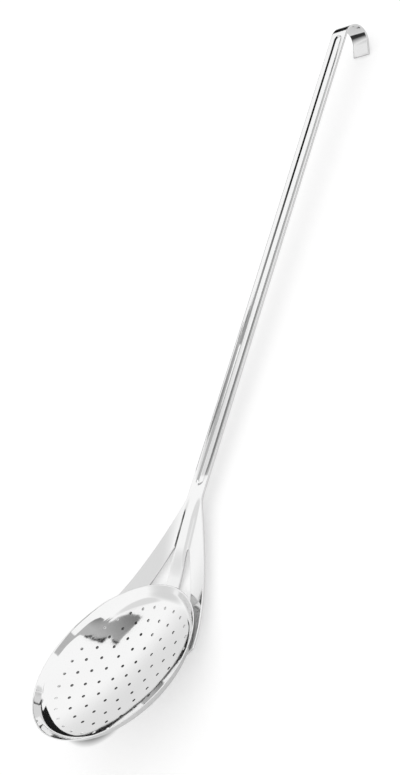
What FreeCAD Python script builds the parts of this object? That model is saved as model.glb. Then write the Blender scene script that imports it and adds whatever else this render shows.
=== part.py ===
import FreeCAD, Part
import math
import os

import Sketcher
from FreeCAD import Placement, Rotation, Vector

# Skimmer with a drawn, perforated bowl and a long strip handle.
# Both pieces are drawn in the bowl's own frame: the rim lies in the plane Z = 0, the bowl's axis is Z,
# the handle leaves towards +X. A shared placement then lays the skimmer down on its saddle and its hook.

# Alias, value in millimetres, degrees or pieces, and what it sizes
SIZES = [
    ("bowl_radius", 80.0, "outer radius of the rim"),
    ("bowl_sheet", 1.0, "thickness of the drawn sheet"),
    ("wall_slope", 56.0, "angle of the straight wall to the rim plane"),
    ("wall_height", 4.5, "height of the straight wall under the rim"),
    ("knuckle_radius", 16.0, "inner radius between the wall and the bottom"),
    ("bottom_radius", 215.0, "inner radius of the domed bottom"),
    ("rim_round", 0.3, "rounding of the two rim edges"),
    ("hole_diameter", 3.0, "diameter of every drain hole"),
    ("hole_pitch", 13.75, "radius of the first ring and step of the next ones"),
    ("hole_draw", 0.0026, "share that a ring is drawn in, times its number squared"),
    ("hole_margin", 1.0, "least land between the outer holes and the knuckle"),
    ("first_ring_holes", 6, "holes in the first ring, and added in each next one"),
    ("strip_width", 20.0, "width of the handle strip"),
    ("strip_sheet", 2.0, "thickness of the handle strip and its legs"),
    ("strip_round", 0.5, "rounding of the long edges of the strip"),
    ("handle_slope", 24.75, "angle of the strip to the rim plane"),
    ("handle_length", 462.0, "straight strip from the neck to the hook"),
    ("neck_reach", 73.0, "from the rim out to the neck, seen from above"),
    ("neck_round", 20.0, "radius where the strip flares into the side legs"),
    ("neck_lap", 3.0, "length by which the strip runs into the fan"),
    ("fan_slope", 29.0, "angle of the fan of legs to the rim plane"),
    ("seat_gap", 0.05, "clearance between the legs and the bowl they hold"),
    ("saddle_reach", 24.0, "from the rim inward to the ends of the legs"),
    ("saddle_sweep", 132.0, "angle that the saddle covers around the bowl"),
    ("middle_leg_width", 17.0, "width of the middle leg"),
    ("side_leg_width", 19.2, "width of each side leg"),
    ("leg_splay", 27.0, "angle of each side leg to the strip"),
    ("slit_diameter", 2.4, "diameter of the relief hole at the top of each slit"),
    ("hook_radius", 14.3, "inner radius of the hook"),
    ("hook_turn", 154.0, "angle that the hook turns through"),
    ("hook_tail", 11.0, "straight end of the hook"),
    ("channel_width", 8.6, "width of the pressed channel at the front face"),
    ("channel_depth", 1.3, "depth of the pressed channel"),
    ("channel_flank", 48.0, "angle of the channel's flanks to its depth"),
    ("channel_start", 9.0, "from the neck to the channel"),
    ("channel_stop", 1.0, "from the channel to the hook"),
]

# Name, kind of property and formula of the places that several sketches share
DERIVED = [
    ("wall_foot", "App::PropertyFloat",
     "Sizes.bowl_radius - Sizes.bowl_sheet / sin(Sizes.wall_slope * 1 deg)"
     " - Sizes.wall_height / tan(Sizes.wall_slope * 1 deg)"),
    ("knuckle_x", "App::PropertyFloat",
     "Derived.wall_foot - Sizes.knuckle_radius * sin(Sizes.wall_slope * 1 deg)"),
    ("knuckle_z", "App::PropertyFloat",
     "Sizes.knuckle_radius * cos(Sizes.wall_slope * 1 deg) - Sizes.wall_height"),
    ("dome_z", "App::PropertyFloat",
     "Derived.knuckle_z + sqrt((Sizes.bottom_radius - Sizes.knuckle_radius)^2 - Derived.knuckle_x^2)"),
    ("saddle_radius", "App::PropertyFloat",
     "Sizes.knuckle_radius + Sizes.bowl_sheet + Sizes.seat_gap"),
    ("saddle_end", "App::PropertyFloat", "Sizes.bowl_radius - Sizes.saddle_reach"),
    ("neck_x", "App::PropertyFloat", "Sizes.bowl_radius + Sizes.neck_reach"),
    ("neck_z", "App::PropertyFloat",
     "Derived.knuckle_z - Derived.saddle_radius * cos(Sizes.fan_slope * 1 deg)"
     " + (Derived.neck_x - Derived.knuckle_x - Derived.saddle_radius * sin(Sizes.fan_slope * 1 deg))"
     " * tan(Sizes.fan_slope * 1 deg)"),
    ("hook_outer", "App::PropertyFloat", "Sizes.hook_radius + Sizes.strip_sheet"),
    ("tail_along", "App::PropertyFloat",
     "Sizes.handle_length + Derived.hook_outer * sin(Sizes.hook_turn * 1 deg)"
     " + Sizes.hook_tail * cos(Sizes.hook_turn * 1 deg)"),
    ("tail_below", "App::PropertyFloat",
     "Derived.hook_outer - Derived.hook_outer * cos(Sizes.hook_turn * 1 deg)"
     " + Sizes.hook_tail * sin(Sizes.hook_turn * 1 deg)"),
    ("tail_dx", "App::PropertyFloat",
     "Derived.neck_x + Derived.tail_along * cos(Sizes.handle_slope * 1 deg)"
     " + Derived.tail_below * sin(Sizes.handle_slope * 1 deg) - Derived.knuckle_x"),
    ("tail_dz", "App::PropertyFloat",
     "Derived.neck_z + Derived.tail_along * sin(Sizes.handle_slope * 1 deg)"
     " - Derived.tail_below * cos(Sizes.handle_slope * 1 deg) - Derived.knuckle_z"),
    ("saddle_back", "App::PropertyFloat", "Derived.saddle_radius + Sizes.strip_sheet"),
    ("lie_tilt", "App::PropertyAngle",
     "atan(Derived.tail_dz / Derived.tail_dx)"
     " + asin(Derived.saddle_back / sqrt(Derived.tail_dx^2 + Derived.tail_dz^2))"),
    ("lie_lift", "App::PropertyFloat",
     "Derived.saddle_back + Derived.knuckle_x * sin(Derived.lie_tilt)"
     " - Derived.knuckle_z * cos(Derived.lie_tilt)"),
    ("hook_x", "App::PropertyFloat",
     "Derived.neck_x + Sizes.handle_length * cos(Sizes.handle_slope * 1 deg)"
     " + Derived.hook_outer * sin(Sizes.handle_slope * 1 deg)"),
    ("hook_z", "App::PropertyFloat",
     "Derived.neck_z + Sizes.handle_length * sin(Sizes.handle_slope * 1 deg)"
     " - Derived.hook_outer * cos(Sizes.handle_slope * 1 deg)"),
    ("lie_shift", "App::PropertyFloat",
     "(Sizes.bowl_radius * cos(Derived.lie_tilt) - Derived.hook_x * cos(Derived.lie_tilt)"
     " - Derived.hook_z * sin(Derived.lie_tilt) - Derived.hook_outer) / 2"),
]

ACROSS, UPRIGHT = range(-1, -3, -1)
ORIGIN = ACROSS
START, END, CENTRE = range(1, 4)
DOWN = -math.pi / 2

doc = FreeCAD.newDocument("skimmer")


def make_sheet():
    sheet = doc.addObject("Spreadsheet::Sheet", "Sizes")
    for row, (alias, value, meaning) in enumerate(SIZES, start=1):
        sheet.set("A%d" % row, meaning)
        sheet.set("B%d" % row, str(value))
        sheet.setAlias("B%d" % row, alias)
    doc.recompute()
    return sheet


def make_derived():
    derived = doc.addObject("App::VarSet", "Derived")
    for name, kind, formula in DERIVED:
        derived.addProperty(kind, name, "Places")
        derived.setExpression(name, formula)
        doc.recompute()
    return derived


def origin_feature(body, role):
    return [feature for feature in body.Origin.OriginFeatures if feature.Role == role][0]


def attached_sketch(body, name, role):
    sketch = body.newObject("Sketcher::SketchObject", name)
    sketch.AttachmentSupport = [(origin_feature(body, role), "")]
    sketch.MapMode = "FlatFace"
    return sketch


def bind_offset(sketch, axis, along=None, up=None, turn=None):
    """Place a sketch by formulas: its shift along X and Z, and its turn about an axis."""
    sketch.AttachmentOffset = Placement(Vector(), Rotation(axis, 1.0))
    if along:
        sketch.setExpression("AttachmentOffset.Base.x", along)
    if up:
        sketch.setExpression("AttachmentOffset.Base." + ("y" if axis.z else "z"), up)
    if turn:
        sketch.setExpression("AttachmentOffset.Rotation.Angle", turn)


def constrain(sketch, *arguments):
    sketch.addConstraint(Sketcher.Constraint(*arguments))


def dimension(sketch, name, formula, *arguments):
    """Add a dimension whose value is a formula of the sheet."""
    index = sketch.addConstraint(Sketcher.Constraint(*arguments))
    sketch.renameConstraint(index, name)
    sketch.setExpression("Constraints." + name, formula)


def line(sketch, start, end):
    return sketch.addGeometry(Part.LineSegment(Vector(start[0], start[1]), Vector(end[0], end[1])))


def arc(sketch, centre, radius, first, last):
    circle = Part.Circle(Vector(centre[0], centre[1]), Vector(0, 0, 1), radius)
    return sketch.addGeometry(Part.ArcOfCircle(circle, first, last))


def polar(centre, radius, angle):
    return centre[0] + radius * math.cos(angle), centre[1] + radius * math.sin(angle)


def side_of(feature, side):
    feature.SideType = side
    return feature


def check_volume(body, before, grows):
    """A feature that points away from the metal changes nothing, so the volume has to move."""
    after = body.Shape.Volume
    moved = after - before
    if (moved > 0) != grows or abs(moved) < 1e-3:
        raise RuntimeError("%s: %s did nothing" % (body.Label, body.Tip.Name))
    return after


def place_lying(body):
    """Lay a piece down on the saddle's back and the tip of the hook, centred over its footprint."""
    body.Placement = Placement(Vector(), Rotation(Vector(0, 1, 0), 1.0))
    body.setExpression("Placement.Base.x", "Derived.lie_shift")
    body.setExpression("Placement.Base.z", "Derived.lie_lift")
    body.setExpression("Placement.Rotation.Angle", "Derived.lie_tilt")


def bowl_section(body, sheet, derived):
    """Half section of the drawn dish: dome, knuckle and straight wall, inside and outside."""
    slope = math.radians(sheet.wall_slope)
    dome = (0.0, derived.dome_z)
    knuckle = (derived.knuckle_x, derived.knuckle_z)
    join = DOWN + math.atan2(knuckle[0], dome[1] - knuckle[1])
    wall = DOWN + slope
    inner_knuckle = sheet.knuckle_radius
    outer_knuckle = inner_knuckle + sheet.bowl_sheet
    inner_dome = sheet.bottom_radius
    outer_dome = inner_dome + sheet.bowl_sheet
    rim_inside = (sheet.bowl_radius - sheet.bowl_sheet / math.sin(slope), 0.0)
    rim_outside = (sheet.bowl_radius, 0.0)

    sketch = attached_sketch(body, "BowlSection", "XZ_Plane")
    bottom_in = arc(sketch, dome, inner_dome, DOWN, join)
    knuckle_in = arc(sketch, knuckle, inner_knuckle, join, wall)
    wall_in = line(sketch, polar(knuckle, inner_knuckle, wall), rim_inside)
    rim = line(sketch, rim_inside, rim_outside)
    wall_out = line(sketch, rim_outside, polar(knuckle, outer_knuckle, wall))
    knuckle_out = arc(sketch, knuckle, outer_knuckle, join, wall)
    bottom_out = arc(sketch, dome, outer_dome, DOWN, join)
    middle = line(sketch, polar(dome, inner_dome, DOWN), polar(dome, outer_dome, DOWN))

    constrain(sketch, "Tangent", bottom_in, END, knuckle_in, START)
    constrain(sketch, "Tangent", knuckle_in, END, wall_in, START)
    constrain(sketch, "Coincident", wall_in, END, rim, START)
    constrain(sketch, "Coincident", rim, END, wall_out, START)
    constrain(sketch, "Tangent", wall_out, END, knuckle_out, END)
    constrain(sketch, "Tangent", knuckle_out, START, bottom_out, END)
    constrain(sketch, "Coincident", bottom_out, START, middle, END)
    constrain(sketch, "Coincident", middle, START, bottom_in, START)
    constrain(sketch, "Coincident", bottom_in, CENTRE, bottom_out, CENTRE)
    constrain(sketch, "Coincident", knuckle_in, CENTRE, knuckle_out, CENTRE)
    constrain(sketch, "PointOnObject", bottom_in, CENTRE, UPRIGHT)
    constrain(sketch, "PointOnObject", bottom_in, START, UPRIGHT)
    constrain(sketch, "Vertical", middle)
    constrain(sketch, "PointOnObject", rim, START, ACROSS)
    constrain(sketch, "Horizontal", rim)
    constrain(sketch, "Parallel", wall_in, wall_out)
    dimension(sketch, "radius", "Sizes.bowl_radius", "DistanceX", ORIGIN, START, rim, END, sheet.bowl_radius)
    dimension(sketch, "slope", "Sizes.wall_slope * 1 deg", "Angle", wall_in, slope)
    dimension(sketch, "height", "Sizes.wall_height", "DistanceY", wall_in, START, wall_in, END,
              sheet.wall_height)
    dimension(sketch, "sheet", "Sizes.bowl_sheet", "Distance", wall_in, END, wall_out, sheet.bowl_sheet)
    dimension(sketch, "knuckle", "Sizes.knuckle_radius", "Radius", knuckle_in, inner_knuckle)
    dimension(sketch, "dome", "Sizes.bottom_radius", "Radius", bottom_in, inner_dome)
    return sketch


def round_edges(body, feature, name, alias, chosen):
    fillet = body.newObject("PartDesign::Fillet", name)
    names = ["Edge%d" % (i + 1) for i, edge in enumerate(feature.Shape.Edges) if chosen(edge)]
    fillet.Base = (feature, names)
    fillet.setExpression("Radius", "Sizes." + alias)
    doc.recompute()
    return fillet


def make_bowl(sheet, derived):
    body = doc.addObject("PartDesign::Body", "Bowl")
    body.Label = "bowl"
    section = bowl_section(body, sheet, derived)
    dish = body.newObject("PartDesign::Revolution", "Dish")
    dish.Profile = section
    dish.ReferenceAxis = (section, ["V_Axis"])
    dish.Angle = 360.0
    doc.recompute()

    def on_rim(edge):
        middle = edge.CenterOfMass
        return edge.Closed and abs(middle.z) < 1e-6 and abs(edge.BoundBox.ZLength) < 1e-6

    round_edges(body, dish, "RimRounding", "rim_round", on_rim)
    volume = body.Shape.Volume
    ring = 0
    while ring_radius(sheet, ring) < widest_ring(sheet, derived):
        volume = punch_ring(body, ring, int(sheet.first_ring_holes) * ring, sheet, volume)
        ring += 1
    place_lying(body)
    return body


def ring_radius(sheet, ring):
    return sheet.hole_pitch * ring * (1 - sheet.hole_draw * ring * ring)


def widest_ring(sheet, derived):
    """Radius within which a ring's holes stay clear of the knuckle."""
    dome_edge = derived.knuckle_x * sheet.bottom_radius / (sheet.bottom_radius - sheet.knuckle_radius)
    return dome_edge - sheet.hole_diameter / 2 - sheet.hole_margin


def punch_ring(body, ring, count, sheet, volume):
    """Punch one ring of drain holes square to the domed bottom."""
    radius = "(Sizes.hole_pitch * %d * (1 - Sizes.hole_draw * %d))" % (ring, ring * ring)
    sketch = attached_sketch(body, "HoleOfRing%d" % ring, "XY_Plane")
    bind_offset(sketch, Vector(0, 1, 0), along=radius,
                up="Derived.dome_z - sqrt(Sizes.bottom_radius^2 - %s^2)" % radius,
                turn="-asin(%s / Sizes.bottom_radius)" % radius)
    hole = sketch.addGeometry(Part.Circle(Vector(), Vector(0, 0, 1), sheet.hole_diameter / 2))
    constrain(sketch, "Coincident", hole, CENTRE, ORIGIN, START)
    dimension(sketch, "bore", "Sizes.hole_diameter", "Diameter", hole, sheet.hole_diameter)
    pocket = side_of(body.newObject("PartDesign::Pocket", "PunchOfRing%d" % ring), "Symmetric")
    pocket.Profile = sketch
    pocket.setExpression("Length", "Sizes.bowl_sheet * 4")
    doc.recompute()
    if count:
        pattern = body.newObject("PartDesign::PolarPattern", "Ring%d" % ring)
        pattern.Originals = [pocket]
        pattern.Axis = (origin_feature(body, "Z_Axis"), [""])
        pattern.Angle = 360.0
        pattern.Occurrences = count
        body.Tip = pattern
        doc.recompute()
    return check_volume(body, volume, False)


def fan_section(body, sheet, derived):
    """Half section of the fan: a cone from the neck that turns under the knuckle and along the dome."""
    slope = math.radians(sheet.fan_slope)
    dome = (0.0, derived.dome_z)
    knuckle = (derived.knuckle_x, derived.knuckle_z)
    join = DOWN + math.atan2(knuckle[0], dome[1] - knuckle[1])
    front_dome = sheet.bottom_radius + sheet.bowl_sheet + sheet.seat_gap
    back_dome = front_dome + sheet.strip_sheet
    front_knuckle = derived.saddle_radius
    back_knuckle = derived.saddle_back
    inner_end = DOWN + math.asin(derived.saddle_end / front_dome)
    neck = (derived.neck_x, derived.neck_z)
    below_neck = polar(neck, sheet.strip_sheet, DOWN + slope)

    sketch = attached_sketch(body, "FanSection", "XZ_Plane")
    cone_front = line(sketch, polar(knuckle, front_knuckle, DOWN + slope), neck)
    turn_front = arc(sketch, knuckle, front_knuckle, join, DOWN + slope)
    seat_front = arc(sketch, dome, front_dome, inner_end, join)
    inner_edge = line(sketch, polar(dome, front_dome, inner_end), polar(dome, back_dome, inner_end))
    seat_back = arc(sketch, dome, back_dome, inner_end, join)
    turn_back = arc(sketch, knuckle, back_knuckle, join, DOWN + slope)
    cone_back = line(sketch, polar(knuckle, back_knuckle, DOWN + slope), below_neck)
    neck_edge = line(sketch, neck, below_neck)

    constrain(sketch, "Tangent", turn_front, END, cone_front, START)
    constrain(sketch, "Tangent", seat_front, END, turn_front, START)
    constrain(sketch, "Coincident", seat_front, START, inner_edge, START)
    constrain(sketch, "Coincident", inner_edge, END, seat_back, START)
    constrain(sketch, "Tangent", seat_back, END, turn_back, START)
    constrain(sketch, "Tangent", turn_back, END, cone_back, START)
    constrain(sketch, "Coincident", cone_back, END, neck_edge, END)
    constrain(sketch, "Coincident", neck_edge, START, cone_front, END)
    constrain(sketch, "Coincident", turn_front, CENTRE, turn_back, CENTRE)
    constrain(sketch, "Coincident", seat_front, CENTRE, seat_back, CENTRE)
    constrain(sketch, "PointOnObject", seat_front, CENTRE, UPRIGHT)
    constrain(sketch, "PointOnObject", seat_front, CENTRE, inner_edge)
    constrain(sketch, "Parallel", cone_front, cone_back)
    constrain(sketch, "Perpendicular", neck_edge, cone_front)
    dimension(sketch, "knuckle_x", "Derived.knuckle_x", "DistanceX", ORIGIN, START, turn_front, CENTRE,
              knuckle[0])
    dimension(sketch, "knuckle_z", "Derived.knuckle_z", "DistanceY", ORIGIN, START, turn_front, CENTRE,
              knuckle[1])
    dimension(sketch, "dome_z", "Derived.dome_z", "DistanceY", ORIGIN, START, seat_front, CENTRE, dome[1])
    dimension(sketch, "seat", "Derived.saddle_radius", "Radius", turn_front, front_knuckle)
    dimension(sketch, "slope", "Sizes.fan_slope * 1 deg", "Angle", cone_front, slope)
    dimension(sketch, "sheet", "Sizes.strip_sheet", "Distance", neck_edge, sheet.strip_sheet)
    dimension(sketch, "neck", "Derived.neck_x", "DistanceX", ORIGIN, START, cone_front, END, neck[0])
    dimension(sketch, "tab", "Derived.saddle_end", "DistanceX", ORIGIN, START, seat_front, START,
              derived.saddle_end)
    return sketch


def handle_plane(sketch, below="0"):
    """Turn a sketch into the plane of the strip's front face, with its origin at the neck."""
    slope = "Sizes.handle_slope * 1 deg"
    bind_offset(sketch, Vector(0, 1, 0),
                along="Derived.neck_x + %s * sin(%s)" % (below, slope),
                up="Derived.neck_z - %s * cos(%s)" % (below, slope),
                turn="-" + slope)


def leg_cut(body, sheet):
    """What is cut away on one side: the slit beside the middle leg, and all outside the side leg."""
    splay = math.radians(sheet.leg_splay)
    half_strip = sheet.strip_width / 2
    half_middle = sheet.middle_leg_width / 2
    relief = sheet.slit_diameter / 2
    margin = sheet.strip_width / 4
    far = sheet.neck_reach + 2 * sheet.bowl_radius
    wide = 2 * sheet.bowl_radius
    flare = (0.0, half_strip + sheet.neck_round)
    flare_end = polar(flare, sheet.neck_round, DOWN - splay)
    rise = math.tan(splay)
    across = sheet.side_leg_width / math.cos(splay)
    outer_far = flare_end[1] + (far + flare_end[0]) * rise
    top_of_slit = half_middle + relief
    along_slit = (flare_end[1] - across - top_of_slit - relief / math.cos(splay)) / rise + flare_end[0]
    hole = (along_slit, top_of_slit)
    slit_side = polar(hole, relief, math.pi / 2 - splay)
    slit_far = slit_side[1] + (far + slit_side[0]) * rise

    sketch = attached_sketch(body, "LegCut", "XY_Plane")
    handle_plane(sketch)
    relief_arc = arc(sketch, hole, relief, DOWN, math.pi / 2 - splay)
    slit_inner = line(sketch, (hole[0], half_middle), (-far, half_middle))
    slit_close = line(sketch, (-far, half_middle), (-far, slit_far))
    slit_outer = line(sketch, slit_side, (-far, slit_far))
    strip_edge = line(sketch, (margin, half_strip), (0.0, half_strip))
    flare_arc = arc(sketch, flare, sheet.neck_round, DOWN - splay, DOWN)
    leg_outer = line(sketch, flare_end, (-far, outer_far))
    cut_far = line(sketch, (-far, outer_far), (-far, wide))
    cut_side = line(sketch, (-far, wide), (margin, wide))
    cut_near = line(sketch, (margin, wide), (margin, half_strip))

    constrain(sketch, "Tangent", relief_arc, START, slit_inner, START)
    constrain(sketch, "Coincident", slit_inner, END, slit_close, START)
    constrain(sketch, "Coincident", slit_close, END, slit_outer, END)
    constrain(sketch, "Tangent", slit_outer, START, relief_arc, END)
    constrain(sketch, "Horizontal", slit_inner)
    constrain(sketch, "Vertical", slit_close)
    constrain(sketch, "Horizontal", strip_edge)
    constrain(sketch, "Tangent", strip_edge, END, flare_arc, END)
    constrain(sketch, "PointOnObject", flare_arc, END, UPRIGHT)
    constrain(sketch, "Tangent", flare_arc, START, leg_outer, START)
    constrain(sketch, "Parallel", leg_outer, slit_outer)
    constrain(sketch, "Coincident", leg_outer, END, cut_far, START)
    constrain(sketch, "Coincident", cut_far, END, cut_side, START)
    constrain(sketch, "Coincident", cut_side, END, cut_near, START)
    constrain(sketch, "Coincident", cut_near, END, strip_edge, START)
    constrain(sketch, "Vertical", cut_far)
    constrain(sketch, "Horizontal", cut_side)
    constrain(sketch, "Vertical", cut_near)
    dimension(sketch, "half_strip", "Sizes.strip_width / 2", "DistanceY", ORIGIN, START, strip_edge, START,
              half_strip)
    dimension(sketch, "margin", "Sizes.strip_width / 4", "DistanceX", ORIGIN, START, strip_edge, START,
              margin)
    dimension(sketch, "flare", "Sizes.neck_round", "Radius", flare_arc, sheet.neck_round)
    dimension(sketch, "half_middle", "Sizes.middle_leg_width / 2", "DistanceY", ORIGIN, START,
              slit_inner, START, half_middle)
    dimension(sketch, "relief", "Sizes.slit_diameter / 2", "Radius", relief_arc, relief)
    dimension(sketch, "splay", "180 deg - Sizes.leg_splay * 1 deg", "Angle", slit_outer, math.pi - splay)
    dimension(sketch, "leg", "Sizes.side_leg_width", "Distance", slit_outer, START, leg_outer,
              sheet.side_leg_width)
    dimension(sketch, "far", "Sizes.neck_reach + 2 * Sizes.bowl_radius", "DistanceX", slit_inner, END,
              ORIGIN, START, far)
    dimension(sketch, "far_too", "Sizes.neck_reach + 2 * Sizes.bowl_radius", "DistanceX", leg_outer, END,
              ORIGIN, START, far)
    dimension(sketch, "wide", "2 * Sizes.bowl_radius", "DistanceY", ORIGIN, START, cut_side, START, wide)
    return sketch


def strip_profile(body, sheet):
    """Side view of the strip: straight from the neck, then round the hook to its short tail."""
    thick = sheet.strip_sheet
    length = sheet.handle_length
    inner = sheet.hook_radius
    outer = inner + thick
    turn = math.radians(sheet.hook_turn)
    centre = (length, -outer)
    low = math.pi / 2 - turn
    tail = (sheet.hook_tail * math.cos(turn), -sheet.hook_tail * math.sin(turn))
    outer_low = polar(centre, outer, low)
    inner_low = polar(centre, inner, low)
    outer_tip = (outer_low[0] + tail[0], outer_low[1] + tail[1])
    inner_tip = (inner_low[0] + tail[0], inner_low[1] + tail[1])

    sketch = attached_sketch(body, "StripProfile", "XZ_Plane")
    bind_offset(sketch, Vector(0, 0, 1), along="Derived.neck_x", up="Derived.neck_z",
                turn="Sizes.handle_slope * 1 deg")
    front = line(sketch, (-sheet.neck_lap, 0.0), (length, 0.0))
    hook_outer = arc(sketch, centre, outer, low, math.pi / 2)
    tail_outer = line(sketch, outer_low, outer_tip)
    tip = line(sketch, outer_tip, inner_tip)
    tail_inner = line(sketch, inner_tip, inner_low)
    hook_inner = arc(sketch, centre, inner, low, math.pi / 2)
    back = line(sketch, (length, -thick), (-sheet.neck_lap, -thick))
    foot = line(sketch, (-sheet.neck_lap, -thick), (-sheet.neck_lap, 0.0))

    constrain(sketch, "PointOnObject", front, START, ACROSS)
    constrain(sketch, "Horizontal", front)
    constrain(sketch, "Tangent", front, END, hook_outer, END)
    constrain(sketch, "Tangent", hook_outer, START, tail_outer, START)
    constrain(sketch, "Coincident", tail_outer, END, tip, START)
    constrain(sketch, "Coincident", tip, END, tail_inner, START)
    constrain(sketch, "Tangent", tail_inner, END, hook_inner, START)
    constrain(sketch, "Tangent", hook_inner, END, back, START)
    constrain(sketch, "Coincident", back, END, foot, START)
    constrain(sketch, "Coincident", foot, END, front, START)
    constrain(sketch, "Coincident", hook_inner, CENTRE, hook_outer, CENTRE)
    constrain(sketch, "Horizontal", back)
    constrain(sketch, "Vertical", foot)
    constrain(sketch, "Parallel", tail_inner, tail_outer)
    constrain(sketch, "Perpendicular", tip, tail_outer)
    dimension(sketch, "lap", "Sizes.neck_lap", "DistanceX", front, START, ORIGIN, START, sheet.neck_lap)
    dimension(sketch, "length", "Sizes.handle_length", "DistanceX", ORIGIN, START, front, END, length)
    dimension(sketch, "sheet", "Sizes.strip_sheet", "Distance", foot, thick)
    dimension(sketch, "hook", "Sizes.hook_radius", "Radius", hook_inner, inner)
    dimension(sketch, "turn", "Sizes.hook_turn * 1 deg", "Angle", hook_outer, turn)
    dimension(sketch, "tail", "Sizes.hook_tail", "Distance", tail_outer, sheet.hook_tail)
    return sketch


def channel_outline(body, name, sheet, below, radius, formula):
    """Long slot with round ends, drawn on the strip's front or at a depth below it."""
    first = sheet.channel_start + sheet.channel_width / 2
    last = sheet.handle_length - sheet.channel_stop - sheet.channel_width / 2
    sketch = attached_sketch(body, name, "XY_Plane")
    handle_plane(sketch, below)
    near = arc(sketch, (first, 0.0), radius, math.pi / 2, math.pi - DOWN)
    low = line(sketch, (first, -radius), (last, -radius))
    far = arc(sketch, (last, 0.0), radius, DOWN, math.pi / 2)
    high = line(sketch, (last, radius), (first, radius))
    constrain(sketch, "Tangent", near, END, low, START)
    constrain(sketch, "Tangent", low, END, far, START)
    constrain(sketch, "Tangent", far, END, high, START)
    constrain(sketch, "Tangent", high, END, near, START)
    constrain(sketch, "Horizontal", low)
    constrain(sketch, "PointOnObject", near, CENTRE, ACROSS)
    constrain(sketch, "PointOnObject", far, CENTRE, ACROSS)
    dimension(sketch, "width", formula, "Radius", near, radius)
    dimension(sketch, "first", "Sizes.channel_start + Sizes.channel_width / 2", "DistanceX",
              ORIGIN, START, near, CENTRE, first)
    dimension(sketch, "last", "Sizes.handle_length - Sizes.channel_stop - Sizes.channel_width / 2",
              "DistanceX", ORIGIN, START, far, CENTRE, last)
    return sketch


def press_channel(body, sheet):
    """Sink the channel into the front and raise its form on the back, one sheet further out."""
    volume = body.Shape.Volume
    half = sheet.channel_width / 2
    half_back = half + sheet.strip_sheet * math.tan(math.radians(sheet.channel_flank) / 2)
    ridge = body.newObject("PartDesign::Pad", "ChannelBack")
    ridge.Profile = channel_outline(
        body, "ChannelBackOutline", sheet, "Sizes.strip_sheet", half_back,
        "Sizes.channel_width / 2 + Sizes.strip_sheet * tan(Sizes.channel_flank * 1 deg / 2)")
    ridge.Reversed = True
    ridge.setExpression("Length", "Sizes.channel_depth")
    ridge.setExpression("TaperAngle", "-Sizes.channel_flank * 1 deg")
    doc.recompute()
    volume = check_volume(body, volume, True)
    channel = body.newObject("PartDesign::Pocket", "Channel")
    channel.Profile = channel_outline(body, "ChannelOutline", sheet, "0", half, "Sizes.channel_width / 2")
    channel.setExpression("Length", "Sizes.channel_depth")
    channel.setExpression("TaperAngle", "-Sizes.channel_flank * 1 deg")
    doc.recompute()
    check_volume(body, volume, False)


def make_handle(sheet, derived):
    body = doc.addObject("PartDesign::Body", "Handle")
    body.Label = "handle"
    strip = side_of(body.newObject("PartDesign::Pad", "Strip"), "Symmetric")
    strip.Profile = strip_profile(body, sheet)
    strip.setExpression("Length", "Sizes.strip_width")
    doc.recompute()
    half = sheet.strip_width / 2

    def on_side(edge):
        box = edge.BoundBox
        on_face = box.YLength < 1e-6 and abs(abs(box.YMax) - half) < 1e-6
        return on_face and box.XMax > derived.neck_x

    round_edges(body, strip, "StripRounding", "strip_round", on_side)
    volume = body.Shape.Volume

    section = fan_section(body, sheet, derived)
    fan = body.newObject("PartDesign::Revolution", "Fan")
    fan.Profile = section
    fan.ReferenceAxis = (section, ["V_Axis"])
    fan.Midplane = True
    fan.setExpression("Angle", "Sizes.saddle_sweep * 1 deg")
    doc.recompute()
    volume = check_volume(body, volume, True)

    cut = side_of(body.newObject("PartDesign::Pocket", "LegOutline"), "Symmetric")
    cut.Profile = leg_cut(body, sheet)
    cut.setExpression("Length", "2 * Sizes.bowl_radius")
    doc.recompute()
    volume = check_volume(body, volume, False)
    mirrored = body.newObject("PartDesign::Mirrored", "LegOutlineMirrored")
    mirrored.Originals = [cut]
    mirrored.MirrorPlane = (origin_feature(body, "XZ_Plane"), [""])
    body.Tip = mirrored
    doc.recompute()
    check_volume(body, volume, False)
    press_channel(body, sheet)
    place_lying(body)
    return body


def check_document():
    doc.recompute()
    for item in doc.Objects:
        if "Invalid" in item.State or "Error" in item.State:
            raise RuntimeError("%s: %s" % (item.Name, item.State))
    for sketch in doc.findObjects("Sketcher::SketchObject"):
        if not sketch.FullyConstrained:
            raise RuntimeError("%s isn't fully constrained" % sketch.Name)


def main():
    sheet = make_sheet()
    derived = make_derived()
    pieces = [make_bowl(sheet, derived), make_handle(sheet, derived)]
    check_document()
    os.makedirs("parts", exist_ok=True)
    for piece in pieces:
        shape = piece.Shape
        if shape.isNull() or not shape.isValid() or len(shape.Solids) != 1:
            raise RuntimeError("%s isn't one valid solid" % piece.Label)
        shape.exportStep("parts/%s.step" % piece.Label)
        box = shape.BoundBox
        print("%s: %.1f mm3, X %.2f..%.2f Y %.2f..%.2f Z %.2f..%.2f" % (
            piece.Label, shape.Volume, box.XMin, box.XMax, box.YMin, box.YMax, box.ZMin, box.ZMax))
    print("lies at %.2f degrees" % float(derived.lie_tilt))


main()
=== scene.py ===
import bpy
import math
from mathutils import Matrix, Vector


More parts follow.
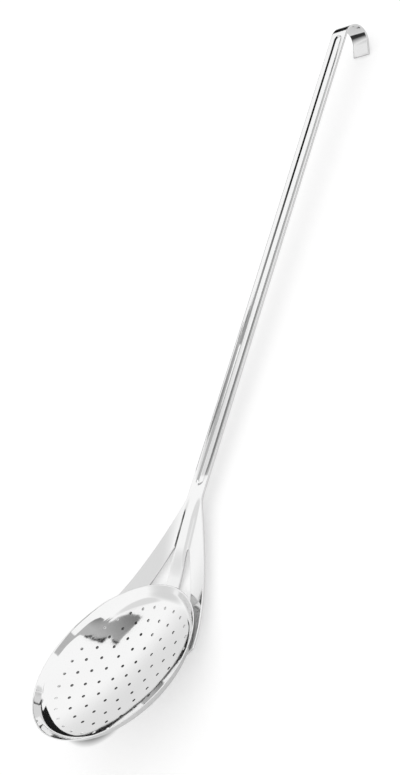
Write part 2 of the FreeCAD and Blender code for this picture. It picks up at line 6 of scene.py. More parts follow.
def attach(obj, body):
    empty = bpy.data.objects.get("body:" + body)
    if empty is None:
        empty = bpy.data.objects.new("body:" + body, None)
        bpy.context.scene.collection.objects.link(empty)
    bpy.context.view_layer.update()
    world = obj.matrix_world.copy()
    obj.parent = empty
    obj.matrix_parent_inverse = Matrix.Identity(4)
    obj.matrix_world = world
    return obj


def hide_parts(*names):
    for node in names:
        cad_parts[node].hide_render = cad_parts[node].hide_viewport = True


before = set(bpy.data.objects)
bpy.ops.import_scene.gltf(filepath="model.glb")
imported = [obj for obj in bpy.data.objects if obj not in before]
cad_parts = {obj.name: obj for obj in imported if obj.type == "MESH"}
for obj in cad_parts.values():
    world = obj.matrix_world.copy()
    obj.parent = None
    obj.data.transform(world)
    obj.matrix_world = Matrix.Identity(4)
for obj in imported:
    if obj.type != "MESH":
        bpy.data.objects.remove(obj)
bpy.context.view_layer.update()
print("frame loaded:", sorted(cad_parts))

# Everything is in metres, and both pieces are drawn as the maker would:
# the rim of the bowl flat at height 0, the bowl's axis upright, the handle leaving towards +X.
mm = 0.001


# The bowl
bowl = {
    "radius": 80.0 * mm,
    "sheet": 1.0 * mm,
    "wallSlope": math.radians(56.0),
    "wallHeight": 4.5 * mm,
    "knuckle": 16.0 * mm,       # inner radius between the wall and the bottom
    "dome": 215.0 * mm,         # inner radius of the bottom
    "rimRound": 0.3 * mm,
    "rimSteps": 3,
    "rimShare": 0.15,           # of the wall, so that the rim's roundness doesn't lean over it
    "domeSteps": 46,
    "knuckleSteps": 16,
    "around": 288,              # steps round the axis
    "merge": 0.01 * mm,         # points closer than this are one
    "smoothAngle": math.radians(35),
    "holeRadius": 1.5 * mm,
    "holePitch": 13.75 * mm,
    "holeDraw": 0.0026,         # how much the rings are drawn inwards, growing with their number squared
    "holeSides": 28,
    "punchLength": 8.0 * mm,
    "wallFacing": 0.6,          # a hole's wall looks less than this towards the dome's centre
    "rings": 5,
    "ringGrowth": 6,            # how many holes each ring has more than the one inside it
}

# The strip with its channel, its hook and its three legs
strip = {
    "width": 20.0 * mm,
    "sheet": 2.0 * mm,
    "slope": math.radians(24.75),
    "length": 462.0 * mm,
    "neckReach": 73.0 * mm,
    "hookRadius": 14.3 * mm,
    "hookTurn": math.radians(154.0),
    "hookTail": 11.0 * mm,
    "channelWidth": 8.6 * mm,
    "channelDepth": 1.3 * mm,
    "channelFlank": math.radians(48.0),
    "channelStart": 9.0 * mm,
    "channelStop": 1.0 * mm,
    "pressRound": 0.5 * mm,     # how far the shoulders of the channel are rounded
    "pressSamples": 4,          # on each side of a point
    "gutter": 0.65 * mm,        # how far the flats dip from the strip's edges to the channel
    "gutterExtra": 0.3 * mm,    # how much deeper the channel's floor lies where the flats dip
    "gutterFade": 30.0 * mm,    # the length over which the dip grows from the neck
    "gutterEnd": 10.0 * mm,     # the length over which it goes before the hook
    "edgeRound": 0.45 * mm,
    "edgeSteps": 3,
    "edgeAngle": math.radians(60),
    "smoothAngle": math.radians(40),
}

fan = {
    "slope": math.radians(29.0),
    "seatGap": 0.05 * mm,
    "innerRadius": 56.0 * mm,
    "halfSweep": math.radians(66.0),
    "middleWidth": 17.0 * mm,
    "sideWidth": 19.2 * mm,
    "splay": math.radians(27.0),
    "reliefRadius": 1.2 * mm,
    "neckRound": 20.0 * mm,
    "bendHalf": 6.0 * mm,       # half the length over which the strip bends into the fan
    "step": 1.9 * mm,           # how far the middle leg's root stands above the side legs
    "stepStart": 6.0 * mm,      # where the step begins, is full, begins to fall and has gone
    "stepFull": -24.0 * mm,
    "stepTop": -47.0 * mm,
    "stepEnd": -74.0 * mm,
    "stepWide": 7.0 * mm,
    "stepLine": ((6.0 * mm, 6.5 * mm), (-47.0 * mm, 8.3 * mm)),
    "search": 90.0 * mm,        # how far from the strip's plane the cone is looked for
    "halvings": 40,
    "endSearch": 0.25 * mm,     # the step in which the end of a leg is looked for
}

# Places that follow from the sizes, as (distance from the axis, height)
wallFoot = bowl["radius"] - bowl["sheet"] / math.sin(bowl["wallSlope"])
wallFoot -= bowl["wallHeight"] / math.tan(bowl["wallSlope"])
knuckleR = wallFoot - bowl["knuckle"] * math.sin(bowl["wallSlope"])
knuckleZ = bowl["knuckle"] * math.cos(bowl["wallSlope"]) - bowl["wallHeight"]
domeZ = knuckleZ + math.sqrt((bowl["dome"] - bowl["knuckle"]) ** 2 - knuckleR ** 2)
seamAngle = math.atan2(knuckleR, domeZ - knuckleZ)
seatRadius = bowl["knuckle"] + bowl["sheet"] + fan["seatGap"]
seatDome = bowl["dome"] + bowl["sheet"] + fan["seatGap"]
neckX = bowl["radius"] + strip["neckReach"]
coneR = knuckleR + seatRadius * math.sin(fan["slope"])
coneZ = knuckleZ - seatRadius * math.cos(fan["slope"])
neckZ = coneZ + (neckX - coneR) * math.tan(fan["slope"])
hookOuter = strip["hookRadius"] + strip["sheet"]


def lyingPlace():
    # The skimmer rests on the legs under the bowl's knuckle and on the tip of the hook
    turn, tail = strip["hookTurn"], strip["hookTail"]
    along = strip["length"] + hookOuter * math.sin(turn) + tail * math.cos(turn)
    below = hookOuter * (1 - math.cos(turn)) + tail * math.sin(turn)
    c, s = math.cos(strip["slope"]), math.sin(strip["slope"])
    tipX = neckX + along * c + below * s - knuckleR
    tipZ = neckZ + along * s - below * c - knuckleZ
    saddle = seatRadius + strip["sheet"]
    tilt = math.atan2(tipZ, tipX) + math.asin(saddle / math.hypot(tipX, tipZ))
    ct, st = math.cos(tilt), math.sin(tilt)
    lift = saddle + knuckleR * st - knuckleZ * ct
    hookX = neckX + strip["length"] * c + hookOuter * s
    hookZ = neckZ + strip["length"] * s - hookOuter * c
    shift = (bowl["radius"] * ct - hookX * ct - hookZ * st - hookOuter) / 2
    return Matrix.Translation((shift, 0, lift)) @ Matrix.Rotation(tilt, 4, "Y")


lying = lyingPlace()


def deselect():
    if bpy.context.mode != "OBJECT":
        bpy.ops.object.mode_set(mode="OBJECT")
    bpy.ops.object.select_all(action="DESELECT")


def only(obj):
    deselect()
    obj.select_set(True)
    bpy.context.view_layer.objects.active = obj


def applyAll(obj):
    only(obj)
    for modifier in list(obj.modifiers):
        bpy.ops.object.modifier_apply(modifier=modifier.name)


def closeMesh(gap):
    # Joins the points that meet and turns all faces outwards, and leaves edit mode
    bpy.ops.mesh.select_all(action="SELECT")
    bpy.ops.mesh.remove_doubles(threshold=gap)
    bpy.ops.mesh.select_all(action="SELECT")
    bpy.ops.mesh.normals_make_consistent(inside=False)
    bpy.ops.object.mode_set(mode="OBJECT")


def paint(obj, plain, other, isOther):
    obj.data.materials.clear()
    obj.data.materials.append(plain)
    obj.data.materials.append(other)
    for face in obj.data.polygons:
        face.material_index = int(isOther(face))


def layDown(obj):
    obj.data.transform(lying)
    obj.data.update()


# Nodes that the steel, the floor, the cards and the world share


def mathNode(tree, operation, first, second):
    node = tree.nodes.new("ShaderNodeMath")
    node.operation = operation
    tree.links.new(first, node.inputs[0])
    tree.links.new(second, node.inputs[1])
    return node.outputs["Value"]


def vectorNode(tree, operation, vector, other=None):
    node = tree.nodes.new("ShaderNodeVectorMath")
    node.operation = operation
    tree.links.new(vector, node.inputs[0])
    if other is not None:
        node.inputs[1].default_value = other
    return node.outputs["Value" if operation in ("DOT_PRODUCT", "LENGTH") else "Vector"]


def rangeNode(tree, value, ends, start=0.0, stop=1.0, kind="LINEAR"):
    node = tree.nodes.new("ShaderNodeMapRange")
    node.interpolation_type = kind
    node.inputs["From Min"].default_value = start
    node.inputs["From Max"].default_value = stop
    node.inputs["To Min"].default_value = ends[0]
    node.inputs["To Max"].default_value = ends[1]
    tree.links.new(value, node.inputs["Value"])
    return node.outputs["Result"]


def greyNode(tree, value):
    node = tree.nodes.new("ShaderNodeCombineColor")
    for channel in ("Red", "Green", "Blue"):
        tree.links.new(value, node.inputs[channel])
    return node.outputs["Color"]


def noiseNode(tree, vector, scale, detail):
    node = tree.nodes.new("ShaderNodeTexNoise")
    node.inputs["Scale"].default_value = scale
    node.inputs["Detail"].default_value = detail
    tree.links.new(vector, node.inputs["Vector"])
    return node.outputs["Fac"]


# Steel, with a fine grain that roughens it and slow clouds that tint and ripple it
grainDetail = 6.0
cloudDetail = 3.0


def polishedSteel(name, look):
    steel = bpy.data.materials.new(name)
    steel.use_nodes = True
    tree = steel.node_tree
    nodes, links = tree.nodes, tree.links
    shader = nodes["Principled BSDF"]
    shader.inputs["Metallic"].default_value = look.get("metal", 1.0)
    place = nodes.new("ShaderNodeTexCoord")
    stretch = nodes.new("ShaderNodeMapping")
    stretch.inputs["Scale"].default_value = look["grain"]
    links.new(place.outputs["Object"], stretch.inputs["Vector"])
    scratches = noiseNode(tree, stretch.outputs["Vector"], look["grainScale"], grainDetail)
    clouds = noiseNode(tree, place.outputs["Object"], look["cloudScale"], cloudDetail)
    tint = rangeNode(tree, clouds, (look["dark"], look["light"]))
    links.new(greyNode(tree, tint), shader.inputs["Base Color"])
    rough = rangeNode(tree, scratches, (look["smooth"], look["rough"]))
    links.new(rough, shader.inputs["Roughness"])
    ripple = nodes.new("ShaderNodeBump")
    ripple.inputs["Strength"].default_value = look["ripple"]
    ripple.inputs["Distance"].default_value = look["rippleHeight"]
    links.new(clouds, ripple.inputs["Height"])
    links.new(ripple.outputs["Normal"], shader.inputs["Normal"])
    return steel


bowlSteel = polishedSteel("bowlSteel", {
    "grain": (1, 1, 1), "grainScale": 900, "cloudScale": 30, "dark": 0.90, "light": 0.94,
    "smooth": 0.03, "rough": 0.09, "ripple": 0.25, "rippleHeight": 0.6 * mm})
stripSteel = polishedSteel("stripSteel", {
    "grain": (0.05, 1, 1), "grainScale": 1400, "cloudScale": 22, "dark": 0.90, "light": 0.94,
    "smooth": 0.05, "rough": 0.12, "ripple": 0.15, "rippleHeight": 0.4 * mm})
# The walls of the drain holes: dull like punched steel, and painted near black as the shade inside the holes
paintedHoleShade = polishedSteel("paintedHoleShade", {
    "grain": (1, 1, 1), "grainScale": 900, "cloudScale": 30, "dark": 0.06, "light": 0.10,
    "smooth": 0.45, "rough": 0.55, "ripple": 0.1, "rippleHeight": 0.2 * mm})
# The ends of the legs under the bowl: dull light grey, painted light where mirror steel would show the dark
# gap between leg and bowl
paintedLightLegEnd = polishedSteel("paintedLightLegEnd", {
    "grain": (1, 1, 1), "grainScale": 900, "cloudScale": 30, "dark": 0.70, "light": 0.80,
    "smooth": 0.35, "rough": 0.45, "ripple": 0.1, "rippleHeight": 0.2 * mm, "metal": 0.2})


# The bowl: its section drawn by spinning one point, then spun about the axis


def selectPoints(obj, keep):
    bpy.ops.object.mode_set(mode="OBJECT")
    for vertex in obj.data.vertices:
        vertex.select = keep(vertex)
    for edge in obj.data.edges:
        edge.select = False
    for face in obj.data.polygons:
        face.select = False
    bpy.ops.object.mode_set(mode="EDIT")


def spinLast(angle, centre, steps):
    bpy.ops.mesh.spin(steps=steps, angle=angle, center=(centre[0], 0, centre[1]), axis=(0, 1, 0))


def sectionPoint(centre, radius, angle):
    return Vector((centre[0] + radius * math.sin(angle), 0, centre[1] - radius * math.cos(angle)))


def makeBowl():
    wall = bowl["wallSlope"]
    dome, knuckle = (0.0, domeZ), (knuckleR, knuckleZ)
    deselect()
    bpy.ops.mesh.primitive_plane_add(size=mm)
    dish = bpy.context.object
    dish.name = "dish"
    bpy.ops.object.mode_set(mode="EDIT")
    bpy.ops.mesh.select_all(action="SELECT")
    bpy.ops.mesh.merge(type="CENTER")
    bpy.ops.transform.translate(value=sectionPoint(dome, bowl["dome"], 0))
    spinLast(seamAngle, dome, bowl["domeSteps"])
    spinLast(wall - seamAngle, knuckle, bowl["knuckleSteps"])
    rimInside = Vector((bowl["radius"] - bowl["sheet"] / math.sin(wall), 0, 0))
    rimOutside = Vector((bowl["radius"], 0, 0))
    innerFoot = sectionPoint(knuckle, bowl["knuckle"], wall)
    outerFoot = sectionPoint(knuckle, bowl["knuckle"] + bowl["sheet"], wall)
    innerNear = rimInside.lerp(innerFoot, bowl["rimShare"])
    outerNear = rimOutside.lerp(outerFoot, bowl["rimShare"])
    for start, end in ((innerFoot, innerNear), (innerNear, rimInside), (rimInside, rimOutside),
                       (rimOutside, outerNear), (outerNear, outerFoot)):
        bpy.ops.mesh.extrude_region_move(TRANSFORM_OT_translate={"value": end - start})
    spinLast(seamAngle - wall, knuckle, bowl["knuckleSteps"])
    spinLast(-seamAngle, dome, bowl["domeSteps"])
    selectPoints(dish, lambda v: abs(v.co.z) < bowl["merge"])
    bpy.ops.mesh.bevel(offset=bowl["rimRound"], segments=bowl["rimSteps"], affect="VERTICES")
    bpy.ops.mesh.select_all(action="SELECT")
    bpy.ops.mesh.spin(steps=bowl["around"], angle=2 * math.pi, center=(0, 0, 0), axis=(0, 0, 1))
    closeMesh(bowl["merge"])
    return dish


def punchPlaces():
    for ring in range(bowl["rings"] + 1):
        radius = bowl["holePitch"] * ring * (1 - bowl["holeDraw"] * ring * ring)
        lean = math.asin(radius / bowl["dome"])
        count = max(1, bowl["ringGrowth"] * ring)
        for number in range(count):
            turn = Matrix.Rotation(2 * math.pi * number / count, 4, "Z")
            seat = Matrix.Translation((radius, 0, domeZ - bowl["dome"] * math.cos(lean)))
            yield turn @ seat @ Matrix.Rotation(-lean, 4, "Y")


def punchHoles(dish):
    deselect()
    bpy.ops.mesh.primitive_cylinder_add(
        vertices=bowl["holeSides"], radius=bowl["holeRadius"], depth=bowl["punchLength"])
    punch = bpy.context.object
    punch.name = "punch"
    deselect()
    for place in punchPlaces():
        copy = punch.copy()
        copy.data = punch.data.copy()
        copy.data.transform(place)
        bpy.context.collection.objects.link(copy)
        copy.select_set(True)
    bpy.context.view_layer.objects.active = copy
    bpy.ops.object.join()
    tool = bpy.context.object
    cut = dish.modifiers.new("holes", "BOOLEAN")
    cut.operation = "DIFFERENCE"
    cut.solver = "EXACT"
    cut.object = tool
    applyAll(dish)
    bpy.data.objects.remove(tool)
    bpy.data.objects.remove(punch)


def inHoleWall(face):
    # The walls of the drain holes stand across the dome, whose own faces look at its centre
    toDome = (Vector((0, 0, domeZ)) - face.center).normalized()
    inside = face.center.xy.length < knuckleR - bowl["holeRadius"]
    return inside and abs(face.normal.dot(toDome)) < bowl["wallFacing"]


dish = makeBowl()
punchHoles(dish)
only(dish)
bpy.ops.object.shade_smooth_by_angle(angle=bowl["smoothAngle"])
# The hole walls carry the painted shade
paint(dish, bowlSteel, paintedHoleShade, inHoleWall)
layDown(dish)
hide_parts("bowl")
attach(dish, "root")
print("bowl:", len(dish.data.polygons), "faces")


# The handle: one flat blank, slit, pressed and bent.
# s runs along the strip from the neck, towards the hook above 0 and into the fan below it, and y across.

blank = {
    "tailRows": 4,
    "hookRows": 44,
    "plainStep": 14.0 * mm,
    "endStep": 0.45 * mm,       # rows at the round ends of the channel
    "channelStep": 0.4 * mm,    # columns across the channel
    "neckStep": 1.5 * mm,
    "slitRows": (2.6, 1.8),     # the last rows before the slits, in radii of the relief hole
    "legRows": 56,
    "guard": 0.9 * mm,          # last column beside each edge, so that the rounding has room
    "guardGap": 0.5 * mm,
    "slitColumns": 5,
    "legColumns": 9,
    "merge": 0.03 * mm,
}
half = strip["width"] / 2
halfMiddle = fan["middleWidth"] / 2
tanSplay = math.tan(fan["splay"])
cosSplay = math.cos(fan["splay"])
flareS = -fan["neckRound"] * math.sin(fan["splay"])
flareY = half + fan["neckRound"] * (1 - cosSplay)
slitY = halfMiddle + fan["reliefRadius"]
slitS = flareS + (flareY - (fan["sideWidth"] + fan["reliefRadius"]) / cosSplay - slitY) / tanSplay
slitTangentS = slitS + fan["reliefRadius"] * math.sin(fan["splay"])
slitTangentY = slitY + fan["reliefRadius"] * cosSplay


def legEdge(s):
    if s >= 0:
        return half
    if s > flareS:
        return half + fan["neckRound"] - math.sqrt(fan["neckRound"] ** 2 - s * s)
    return flareY + (flareS - s) * tanSplay


def limit(x):
    return min(1.0, max(0.0, x))


def smooth(x):
    x = limit(x)
    return x * x * (3 - 2 * x)


def fanHeight(r):
    if r > coneR:
        return coneZ + (r - coneR) * math.tan(fan["slope"])
    if r > knuckleR + seatRadius * math.sin(seamAngle):
        return knuckleZ - math.sqrt(seatRadius ** 2 - (r - knuckleR) ** 2)
    return domeZ - math.sqrt(seatDome ** 2 - r * r)


def fanDepth(s, y):
    low, high = -fan["search"], fan["search"]
    c, sn = math.cos(strip["slope"]), math.sin(strip["slope"])
    for step in range(fan["halvings"]):
        t = (low + high) / 2
        x = neckX + s * c - t * sn
        z = neckZ + s * sn + t * c
        if z > fanHeight(math.hypot(x, y)):
            high = t
        else:
            low = t
    return (low + high) / 2


def pressDepth(s, y):
    # The channel, with shoulders rounded by averaging, and the dip of the flats towards it
    radius = strip["channelWidth"] / 2
    first = strip["channelStart"] + radius
    last = strip["length"] - strip["channelStop"] - radius
    off = math.hypot(s - min(max(s, first), last), y)
    away = limit((half - abs(y)) / (half - radius))
    fade = smooth(s / strip["gutterFade"]) * smooth((strip["length"] - s) / strip["gutterEnd"])
    dip = strip["gutter"] * fade
    deep = strip["channelDepth"] + strip["gutterExtra"] * fade - dip
    flank = deep * math.tan(strip["channelFlank"])
    reach = strip["pressSamples"]
    samples = [off + strip["pressRound"] * k / reach for k in range(-reach, reach + 1)]
    depth = [limit((radius - d) / flank) for d in samples]
    return dip * away ** 2 + deep * sum(depth) / len(depth)


def rootStep(s, y):
    # The sheet between the slits stands up from the side legs, most at the relief holes
    if s > fan["stepTop"]:
        rise = smooth((fan["stepStart"] - s) / (fan["stepStart"] - fan["stepFull"]))
    else:
        rise = smooth((s - fan["stepEnd"]) / (fan["stepTop"] - fan["stepEnd"]))
    (s0, y0), (s1, y1) = fan["stepLine"]
    line = y0 + (y1 - y0) * limit((s0 - s) / (s0 - s1))
    return fan["step"] * rise * (1 - smooth((abs(y) - line) / fan["stepWide"] + 0.5))


def formed(s, y):
    # Where a point of the flat blank goes when the strip is pressed and bent
    c, sn = math.cos(strip["slope"]), math.sin(strip["slope"])
    bend = fan["bendHalf"]
    along = s
    if s > strip["length"]:
        turn = min((s - strip["length"]) / hookOuter, strip["hookTurn"])
        rest = s - strip["length"] - turn * hookOuter
        along = strip["length"] + hookOuter * math.sin(turn) + rest * math.cos(turn)
        off = -hookOuter * (1 - math.cos(turn)) - rest * math.sin(turn)
    elif s > bend:
        off = -pressDepth(s, y)
    else:
        eased = s if s < -bend else -(bend - s) ** 2 / (4 * bend)
        flat = smooth((s + 2 * bend) / (3 * bend))
        off = fanDepth(eased, y) - flat * fanDepth(0.0, y) + rootStep(s, y)
    return Vector((neckX + along * c - off * sn, y, neckZ + along * sn + off * c))


def legEnd(y0):
    # Along a line of the side leg, from the slit's row to where the saddle's inner or side edge cuts it
    s = slitTangentS
    while True:
        point = formed(s, y0 + (slitTangentS - s) * tanSplay)
        r = math.hypot(point.x, point.y)
        if r < fan["innerRadius"] or math.atan2(point.y, point.x) > fan["halfSweep"]:
            return s
        s -= fan["endSearch"]


def middleEnd(y):
    s = slitS
    while math.hypot(*formed(s, y).xy) > fan["innerRadius"]:
        s -= fan["endSearch"]
    return s


def evenly(start, stop, step):
    count = int((start - stop) / step)
    return [start - (start - stop) * k / count for k in range(count)]


def stripStations():
    # The rows of the blank, from the tip of the hook to the slits
    length, tailRows, hookRows = strip["length"], blank["tailRows"], blank["hookRows"]
    arc = hookOuter * strip["hookTurn"]
    soft = strip["pressRound"]
    endLength = strip["channelWidth"] / 2 + soft
    topStart = length - strip["channelStop"] - endLength + soft
    lowStop = strip["channelStart"] + endLength
    lowStart = strip["channelStart"] - soft
    nearSlit, atSlit = [slitS + share * fan["reliefRadius"] for share in blank["slitRows"]]
    stops = [length + arc + strip["hookTail"] * k / tailRows for k in range(tailRows, 0, -1)]
    stops += [length + arc * k / hookRows for k in range(hookRows, 0, -1)]
    stops += evenly(length, topStart, blank["endStep"])
    stops += evenly(topStart, lowStop, blank["plainStep"])
    stops += evenly(lowStop, lowStart, blank["endStep"])
    stops += evenly(lowStart, nearSlit, blank["neckStep"])
    return stops + [nearSlit, atSlit]


def middleColumns():
    inner = strip["channelWidth"] / 2 + strip["pressRound"] + blank["channelStep"]
    count = int(inner / blank["channelStep"])
    columns = [inner * k / count for k in range(count + 1)]
    guard = blank["guard"]
    return columns + [halfMiddle - guard - blank["guardGap"], halfMiddle - 0.5 * guard, halfMiddle]


def sideColumns(s):
    outer = legEdge(s)
    guard = blank["guard"] / cosSplay
    if s > slitTangentS:
        spread = smooth((legEdge(s) - half) / (legEdge(slitS) - half))
        inner = halfMiddle + (slitTangentY - halfMiddle) * spread
    else:
        inner = slitTangentY + (slitTangentS - s) * tanSplay
    inner = min(inner, outer - guard)
    second = min(inner + guard, outer - guard)
    count = blank["legColumns"]
    between = [second + (outer - guard - second) * k / (count - 1) for k in range(count)]
    return [inner] + between + [outer]


def makeBlank():
    stations, middle = stripStations(), middleColumns()
    sideLines = [(y, legEnd(y)) for y in sideColumns(slitTangentS)]
    middleLines = [(y, middleEnd(y)) for y in middle]
    split, firstBand, legRows = len(stations), len(middle), blank["legRows"]
    firstSide = firstBand + blank["slitColumns"] - 1
    rows = split + 1 + legRows
    columns = firstSide + len(sideLines)
    across = 2 * columns - 1

    def blankPlace(i, away):
        # Where row i and the column that far from the middle lie on the blank, as (s, y)
        share = (away - firstBand + 1) / blank["slitColumns"]
        if i < split and away < firstBand:
            return stations[i], middle[away]
        if i < split:
            sides = sideColumns(stations[i])
            if away < firstSide:
                return stations[i], halfMiddle + (sides[0] - halfMiddle) * share
            return stations[i], sides[away - firstSide]
        if away < firstBand:
            y, end = middleLines[away]
            return slitS + (end - slitS) * (i - split) / legRows, y
        if away < firstSide:
            turn = share * (math.pi - fan["splay"]) - math.pi / 2
            return slitS + fan["reliefRadius"] * math.cos(turn), slitY + fan["reliefRadius"] * math.sin(turn)
        y0, end = sideLines[away - firstSide]
        s = slitTangentS + (end - slitTangentS) * (i - split) / legRows
        return s, y0 + (slitTangentS - s) * tanSplay

    deselect()
    bpy.ops.mesh.primitive_grid_add(x_subdivisions=rows - 1, y_subdivisions=across - 1, size=1)
    sheet = bpy.context.object
    sheet.name = "strip"
    mesh = sheet.data
    row = [round((v.co.x + 0.5) * (rows - 1)) for v in mesh.vertices]
    column = [round((v.co.y + 0.5) * (across - 1)) - (columns - 1) for v in mesh.vertices]
    for vertex, i, j in zip(mesh.vertices, row, column):
        s, y = blankPlace(i, abs(j))
        vertex.co = formed(s, y if j >= 0 else -y)

    # Slits: the band of faces beside the middle leg goes, from the relief hole on
    bpy.ops.object.mode_set(mode="EDIT")
    bpy.ops.mesh.select_mode(type="FACE")
    bpy.ops.object.mode_set(mode="OBJECT")
    for face in mesh.polygons:
        inSlit = min(row[v] for v in face.vertices) >= split
        sides = [abs(column[v]) for v in face.vertices]
        face.select = inSlit and min(sides) >= firstBand - 1 and max(sides) <= firstSide
    bpy.ops.object.mode_set(mode="EDIT")
    bpy.ops.mesh.delete(type="FACE")
    bpy.ops.mesh.select_mode(type="VERT")
    closeMesh(blank["merge"])
    return sheet


def makeStrip():
    sheet = makeBlank()
    upward = sum(p.normal.z * p.area for p in sheet.data.polygons)
    if upward < 0:
        sheet.data.flip_normals()
    thick = sheet.modifiers.new("thick", "SOLIDIFY")
    thick.thickness = strip["sheet"]
    thick.offset = -1
    thick.use_even_offset = True
    edge = sheet.modifiers.new("edge", "BEVEL")
    edge.width = strip["edgeRound"]
    edge.segments = strip["edgeSteps"]
    edge.limit_method = "ANGLE"
    edge.angle_limit = strip["edgeAngle"]
    edge.use_clamp_overlap = False
    applyAll(sheet)
    only(sheet)
    bpy.ops.object.shade_smooth_by_angle(angle=strip["smoothAngle"])
    return sheet


def underBowl(face):
    # The ends of the legs under the bowl are dull light grey: painted light, where mirror steel would show
    # the dark gap between leg and bowl
    return face.center.xy.length < bowl["radius"] - mm


sheet = makeStrip()
paint(sheet, stripSteel, paintedLightLegEnd, underBowl)
layDown(sheet)
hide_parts("handle")
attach(sheet, "root")
print("handle:", len(sheet.data.polygons), "faces")


# Floor, light and camera

room = {
    "floorSize": 6.0,
    "floorDrop": 0.2 * mm,
    "floorColour": 0.95,
    "floorRough": 0.9,
    "shadowShare": 0.62,            # how much of what the camera sees of the floor is lit paper
    "paperGlow": 0.46,              # the rest of it, which keeps the background white
    "mirroredGlow": 0.25,           # how much of that rest the steel shows
    "paintedShadeShare": 0.2,             # the lit paper's share in the painted shade, where the drain holes show it
    "underBowl": (-0.288, 0.059),   # the middle of a painted shade on the floor, which shows through the drain holes
    "paintedShadeSize": (0.068, 0.064),
    "paintedShadeEdge": (0.88, 1.0),   # where the painted shade ends, as a share of that size
    "pastEdge": 2.0,
}


def makeFloor():
    deselect()
    bpy.ops.mesh.primitive_plane_add(size=room["floorSize"], location=(0, 0, -room["floorDrop"]))
    floor = bpy.context.object
    floor.name = "floor"
    paper = bpy.data.materials.new("whitePaper")
    paper.use_nodes = True
    tree = paper.node_tree
    nodes, links = tree.nodes, tree.links
    shader = nodes["Principled BSDF"]
    shader.inputs["Base Color"].default_value = (room["floorColour"],) * 3 + (1,)
    shader.inputs["Roughness"].default_value = room["floorRough"]
    place = nodes.new("ShaderNodeTexCoord")
    ray = nodes.new("ShaderNodeLightPath")

    # A painted shade under the bowl, darker paper without glow, that only the camera sees: every other ray
    # is past its edge
    centred = vectorNode(tree, "SUBTRACT", place.outputs["Object"], room["underBowl"] + (0,))
    scaled = vectorNode(tree, "DIVIDE", centred, room["paintedShadeSize"] + (1,))
    away = vectorNode(tree, "LENGTH", scaled)
    past = rangeNode(tree, ray.outputs["Is Camera Ray"], (room["pastEdge"], 0.0))
    reach = mathNode(tree, "ADD", away, past)
    lit = rangeNode(tree, reach, (room["paintedShadeShare"], room["shadowShare"]), *room["paintedShadeEdge"])
    rest = rangeNode(tree, reach, (0.0, room["paperGlow"]), *room["paintedShadeEdge"])

    # Lit paper and a glow that lifts it to white, seen by the camera and in the steel
    shown = nodes.new("ShaderNodeBsdfDiffuse")
    links.new(greyNode(tree, lit), shown.inputs["Color"])
    glow = nodes.new("ShaderNodeEmission")
    seenShare = rangeNode(tree, ray.outputs["Is Camera Ray"], (room["mirroredGlow"], 1.0))
    links.new(mathNode(tree, "MULTIPLY", rest, seenShare), glow.inputs["Strength"])
    seen = nodes.new("ShaderNodeAddShader")
    links.new(shown.outputs["BSDF"], seen.inputs[0])
    links.new(glow.outputs["Emission"], seen.inputs[1])
    mirrored = mathNode(tree, "MAXIMUM", ray.outputs["Is Glossy Ray"], ray.outputs["Is Transmission Ray"])
    mix = nodes.new("ShaderNodeMixShader")
    links.new(mathNode(tree, "MAXIMUM", ray.outputs["Is Camera Ray"], mirrored), mix.inputs["Fac"])
    links.new(shader.outputs["BSDF"], mix.inputs[1])
    links.new(seen.outputs["Shader"], mix.inputs[2])
    links.new(mix.outputs["Shader"], nodes["Material Output"].inputs["Surface"])
    floor.data.materials.append(paper)


makeFloor()

# Cards that only the polished steel shows. farCard lies far behind the skimmer and stands up at its end,
# stripCard stands beside the handle, and flankCard lies over it. topCard hangs high above, with
# edgeCard and cornerCard just under its right edge. A card with an endTone changes its tone along toneAlong.
farCard = {
    "far": 1.0,
    "tone": 0.012,
    # x, where the card begins on the floor, how high it stands at its far end
    "stops": ((-0.60, 0.21, 0.03), (-0.20, 0.21, 0.05), (-0.145, 0.21, 0.06), (-0.14, 0.21, 0.22),
              (-0.09, 0.20, 0.22), (-0.085, 0.20, 0.15), (-0.01, 0.19, 0.17),
              (0.02, 0.18, 0.07), (0.06, 0.18, 0.045), (0.12, 0.17, 0.045), (0.20, 0.16, 0.07),
              (0.30, 0.14, 0.12), (0.39, 0.12, 0.20), (0.54, 0.12, 0.30), (0.74, 0.12, 0.41),
              (1.24, 0.12, 0.55), (2.60, 0.12, 0.74)),
}
stripCard = {
    "y": 0.085,
    "tone": 0.03,
    "endTone": 0.9,
    "toneAlong": (0, 0, 1),
    "toneFrom": 0.04,
    "toneTo": 0.088,
    "tops": ((-0.09, 0.085), (0.34, 0.09)),     # x and height
}
flankCard = {
    "tone": 0.35,
    "endTone": 0.012,
    "toneAlong": (1, 0, 0),
    "toneFrom": 0.08,
    "toneTo": 0.20,
    "points": ((0.03, -0.055, 0.075), (0.42, -0.055, 0.085), (0.42, 0.018, 0.085), (0.03, 0.018, 0.075)),
}
topCard = {
    "height": 1.2,
    "tone": 0.20,
    "endTone": 0.48,
    "toneAlong": (1, -0.4, 0),
    "toneFrom": -0.18,
    "toneTo": 0.12,
    "outline": ((0.21, 1.14), (0.18, 1.01), (0.17, 0.85), (0.20, 0.76), (0.26, 0.67), (0.10, 0.50),
                (0.12, 0.38), (-0.02, 0.30), (0.02, 0.16), (-0.07, 0.06), (-0.36, -0.41), (-0.43, -0.70),
                (-0.40, -0.96), (-0.28, -1.09), (-0.12, -1.22), (0.06, -1.38), (0.14, -1.46),
                (0.17, -1.64), (0.53, -1.87), (0.84, -2.03), (1.21, -2.20), (1.75, -2.44),
                (1.75, -2.24), (1.10, -1.88), (0.70, -1.65), (0.45, -1.40), (0.28, -1.15), (0.15, -0.90),
                (0.12, -0.70), (0.23, -0.10), (0.42, 0.62), (0.43, 0.81), (0.38, 0.84),
                (0.44, 1.04), (0.36, 1.05), (0.31, 1.07)),
}
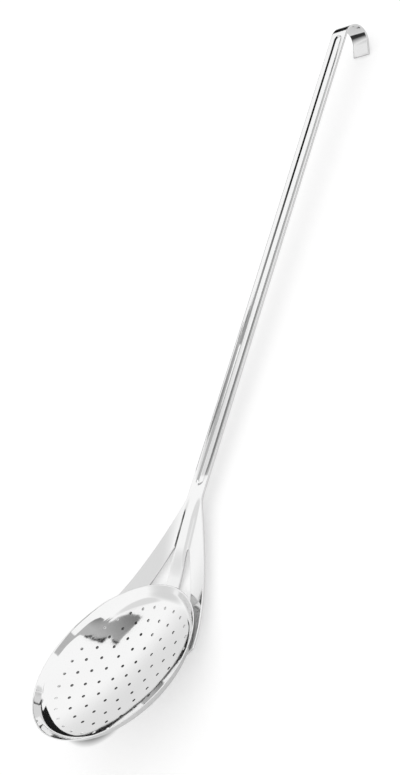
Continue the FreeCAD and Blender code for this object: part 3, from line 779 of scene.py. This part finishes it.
edgeCard = {
    "height": 1.19,
    "tone": 0.012,
    "outline": ((0.21, -0.10), (0.235, -0.10), (0.40, 0.50), (0.43, 0.62), (0.44, 0.82), (0.385, 0.80),
                (0.41, 0.66)),
}
cornerCard = {
    "height": 1.19,
    "tone": 0.012,
    "outline": ((0.39, 0.86), (0.42, 0.92), (0.46, 1.04), (0.42, 1.06)),
}
cardFoot = 0.5 * mm             # how far above the floor the standing cards begin


def cardMaterial(name, look):
    card = bpy.data.materials.new(name)
    card.use_nodes = True
    tree = card.node_tree
    glow = tree.nodes.new("ShaderNodeEmission")
    if "endTone" in look:
        place = tree.nodes.new("ShaderNodeTexCoord")
        along = vectorNode(tree, "DOT_PRODUCT", place.outputs["Object"], look["toneAlong"])
        tone = rangeNode(tree, along, (look["tone"], look["endTone"]), look["toneFrom"], look["toneTo"])
        glow.inputs["Color"].default_value = (1, 1, 1, 1)
        tree.links.new(tone, glow.inputs["Strength"])
    else:
        glow.inputs["Color"].default_value = (look["tone"],) * 3 + (1,)
    tree.links.new(glow.outputs["Emission"], tree.nodes["Material Output"].inputs["Surface"])
    return card


def hangCard(name, look, rows):
    # A card of bands between neighbouring rows of points
    width = len(rows[0])
    points = [point for row in rows for point in row]
    faces = []
    for first in range(0, len(points) - width, width):
        faces += [(i, i + 1, i + 1 + width, i + width) for i in range(first, first + width - 1)]
    mesh = bpy.data.meshes.new(name)
    mesh.from_pydata(points, [], faces if len(rows) > 1 else [tuple(range(width))])
    card = bpy.data.objects.new(name, mesh)
    bpy.context.scene.collection.objects.link(card)
    mesh.materials.append(cardMaterial(name + "Face", look))
    card.visible_camera = False
    card.visible_diffuse = False
    card.visible_shadow = False


def makeCards():
    far, y = farCard["far"], stripCard["y"]
    hangCard("farCard", farCard, [[(x, near, cardFoot), (x, far, cardFoot), (x, far, top)]
                                  for x, near, top in farCard["stops"]])
    hangCard("stripCard", stripCard, [[(x, y, cardFoot), (x, y, top)] for x, top in stripCard["tops"]])
    hangCard("flankCard", flankCard, [flankCard["points"]])
    for name, look in (("topCard", topCard), ("edgeCard", edgeCard), ("cornerCard", cornerCard)):
        hangCard(name, look, [[(x, y, look["height"]) for x, y in look["outline"]]])


makeCards()

# Darker parts of the surroundings: where their middle lies, their least strength, and the angles from
# the middle at which they end and at which they are full
shades = (
    {"turn": 70, "rise": 5, "least": 0.78, "end": 30, "full": 5},
    {"turn": 120, "rise": 30, "least": 0.72, "end": 28, "full": 8},
    {"turn": 95, "rise": 62, "least": 0.76, "end": 20, "full": 12},
)


def makeWorld():
    world = bpy.data.worlds.new("studio")
    bpy.context.scene.world = world
    world.use_nodes = True
    tree = world.node_tree
    back = tree.nodes["Background"]
    back.inputs["Color"].default_value = (1, 1, 1, 1)
    place = tree.nodes.new("ShaderNodeTexCoord")
    result = None
    for shade in shades:
        turn, rise = math.radians(shade["turn"]), math.radians(shade["rise"])
        middle = (math.cos(rise) * math.cos(turn), math.cos(rise) * math.sin(turn), math.sin(rise))
        along = vectorNode(tree, "DOT_PRODUCT", place.outputs["Generated"], middle)
        end, full = math.cos(math.radians(shade["end"])), math.cos(math.radians(shade["full"]))
        dim = rangeNode(tree, along, (1.0, shade["least"]), end, full, "SMOOTHSTEP")
        result = dim if result is None else mathNode(tree, "MINIMUM", result, dim)
    tree.links.new(result, back.inputs["Strength"])


makeWorld()

view = {
    "place": (-0.3241, -0.8450, 0.6611),
    "turn": (36.627, 45.079, -62.252),
    "focalPixels": 1250.0,
    "heightPixels": 775.0,
    "sensor": 24.0,
    "near": 0.05,
    "far": 20,
}


def makeCamera():
    camera = bpy.data.cameras.new("camera")
    holder = bpy.data.objects.new("camera", camera)
    bpy.context.scene.collection.objects.link(holder)
    holder.location = view["place"]
    holder.rotation_euler = [math.radians(a) for a in view["turn"]]
    camera.sensor_fit = "VERTICAL"
    camera.sensor_height = view["sensor"]
    camera.lens = camera.sensor_height * view["focalPixels"] / view["heightPixels"]
    camera.clip_start = view["near"]
    camera.clip_end = view["far"]
    bpy.context.scene.camera = holder


makeCamera()
bpy.context.scene.view_settings.view_transform = "Standard"
print("floor, cards, light and camera in place")
